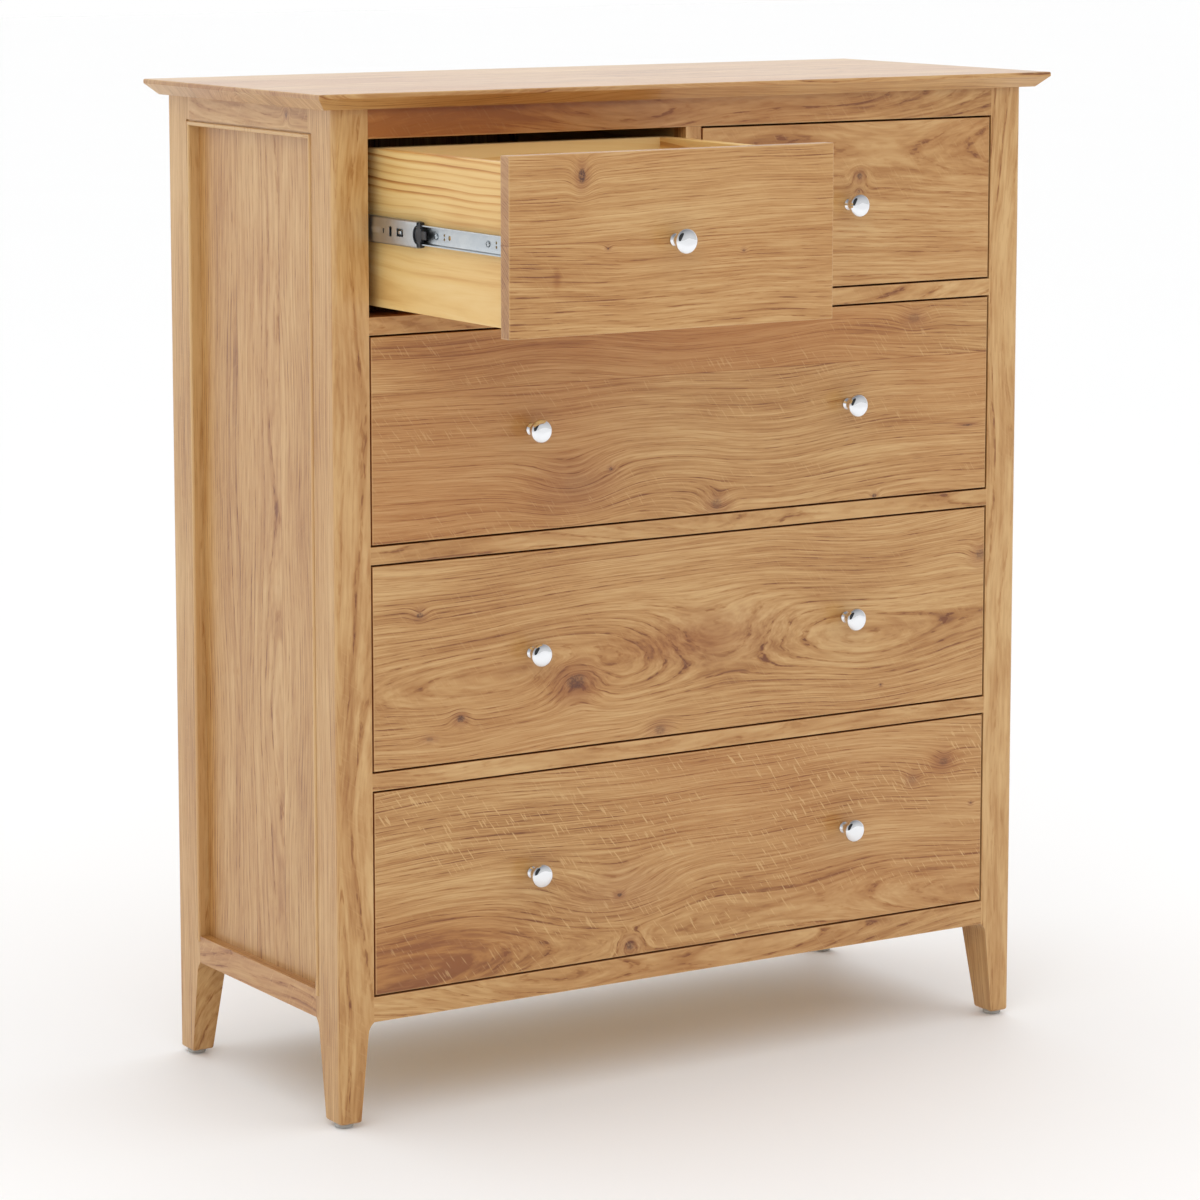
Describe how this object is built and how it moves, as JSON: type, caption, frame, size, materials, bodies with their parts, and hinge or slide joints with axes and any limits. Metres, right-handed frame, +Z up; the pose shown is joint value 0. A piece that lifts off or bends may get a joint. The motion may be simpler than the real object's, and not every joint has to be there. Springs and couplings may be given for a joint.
{
  "type": "tall chest of drawers",
  "caption": "Tall oak chest with short drawers over wide ones, frame-and-panel sides, tapered legs, a bevelled overhanging top and round chrome knobs on ball-bearing slides.",
  "frame": {"origin": "on the floor under the middle of the whole object's box, the open top left drawer counted", "axes": "+X to the right as one faces the drawers, +Y to the back, +Z up"},
  "size_m": [0.9, 0.657, 1.05],
  "materials": {
    "oak": "satin lacquered natural oak",
    "pine": "planed pine, thin clear coat",
    "drawer_ply": "thin plywood drawer bottom",
    "back_board": "oak-faced board",
    "chrome_knob": "polished chrome",
    "zinc_steel": "bright zinc-plated rolled steel",
    "glide_plastic": "pale grey moulded plastic"
  },
  "bodies": {
    "root": {"top_panel": "oak", "leg_front_left": "oak", "leg_front_right": "oak", "leg_back_left": "oak", "leg_back_right": "oak", "foot_glides": "glide_plastic", "front_bottom_rail": "oak", "front_top_rail": "oak", "lower_drawer_rail": "oak", "middle_drawer_rail": "oak", "upper_drawer_rail": "oak", "centre_stile": "oak", "centre_partition": "pine", "side_bottom_rail_left": "oak", "side_top_rail_left": "oak", "side_panel_left": "oak", "side_bottom_rail_right": "oak", "side_top_rail_right": "oak", "side_panel_right": "oak", "side_beads": "oak", "slide_battens": "pine", "back_panel": "back_board", "back_bottom_rail": "pine", "back_top_rail": "pine", "slide_outer_members": "zinc_steel"},
    "drawer_top_left": {"drawer_top_left_front": "oak", "drawer_top_left_sides": "pine", "drawer_top_left_back": "pine", "drawer_top_left_bottom": "drawer_ply", "drawer_top_left_knobs": "chrome_knob", "drawer_top_left_slide_inner": "zinc_steel"},
    "drawer_top_left_middle_members": {"drawer_top_left_slide_middle": "zinc_steel"},
    "drawer_top_right": {"drawer_top_right_front": "oak", "drawer_top_right_sides": "pine", "drawer_top_right_back": "pine", "drawer_top_right_bottom": "drawer_ply", "drawer_top_right_knobs": "chrome_knob", "drawer_top_right_slide_inner": "zinc_steel"},
    "drawer_top_right_middle_members": {"drawer_top_right_slide_middle": "zinc_steel"},
    "drawer_lower": {"drawer_lower_front": "oak", "drawer_lower_sides": "pine", "drawer_lower_back": "pine", "drawer_lower_bottom": "drawer_ply", "drawer_lower_knobs": "chrome_knob", "drawer_lower_slide_inner": "zinc_steel"},
    "drawer_lower_middle_members": {"drawer_lower_slide_middle": "zinc_steel"},
    "drawer_middle": {"drawer_middle_front": "oak", "drawer_middle_sides": "pine", "drawer_middle_back": "pine", "drawer_middle_bottom": "drawer_ply", "drawer_middle_knobs": "chrome_knob", "drawer_middle_slide_inner": "zinc_steel"},
    "drawer_middle_middle_members": {"drawer_middle_slide_middle": "zinc_steel"},
    "drawer_upper": {"drawer_upper_front": "oak", "drawer_upper_sides": "pine", "drawer_upper_back": "pine", "drawer_upper_bottom": "drawer_ply", "drawer_upper_knobs": "chrome_knob", "drawer_upper_slide_inner": "zinc_steel"},
    "drawer_upper_middle_members": {"drawer_upper_slide_middle": "zinc_steel"}
  },
  "joints": [
    {"name": "drawer_top_left_slide", "type": "slide", "parent": "root", "child": "drawer_top_left", "axis": [0, -1, 0], "range_m": [-0.267, 0.003]},
    {"name": "drawer_top_left_middle_slide", "type": "slide", "parent": "root", "child": "drawer_top_left_middle_members", "axis": [0, -1, 0], "range_m": [-0.1335, 0.0015]},
    {"name": "drawer_top_right_slide", "type": "slide", "parent": "root", "child": "drawer_top_right", "axis": [0, -1, 0], "range_m": [0, 0.27]},
    {"name": "drawer_top_right_middle_slide", "type": "slide", "parent": "root", "child": "drawer_top_right_middle_members", "axis": [0, -1, 0], "range_m": [0, 0.135]},
    {"name": "drawer_lower_slide", "type": "slide", "parent": "root", "child": "drawer_lower", "axis": [0, -1, 0], "range_m": [0, 0.27]},
    {"name": "drawer_lower_middle_slide", "type": "slide", "parent": "root", "child": "drawer_lower_middle_members", "axis": [0, -1, 0], "range_m": [0, 0.135]},
    {"name": "drawer_middle_slide", "type": "slide", "parent": "root", "child": "drawer_middle", "axis": [0, -1, 0], "range_m": [0, 0.27]},
    {"name": "drawer_middle_middle_slide", "type": "slide", "parent": "root", "child": "drawer_middle_middle_members", "axis": [0, -1, 0], "range_m": [0, 0.135]},
    {"name": "drawer_upper_slide", "type": "slide", "parent": "root", "child": "drawer_upper", "axis": [0, -1, 0], "range_m": [0, 0.27]},
    {"name": "drawer_upper_middle_slide", "type": "slide", "parent": "root", "child": "drawer_upper_middle_members", "axis": [0, -1, 0], "range_m": [0, 0.135]}
  ],
  "couplings": [
    {"joint": "drawer_top_left_middle_slide", "follows": "drawer_top_left_slide", "ratio": 0.5},
    {"joint": "drawer_top_right_middle_slide", "follows": "drawer_top_right_slide", "ratio": 0.5},
    {"joint": "drawer_lower_middle_slide", "follows": "drawer_lower_slide", "ratio": 0.5},
    {"joint": "drawer_middle_middle_slide", "follows": "drawer_middle_slide", "ratio": 0.5},
    {"joint": "drawer_upper_middle_slide", "follows": "drawer_upper_slide", "ratio": 0.5}
  ]
}
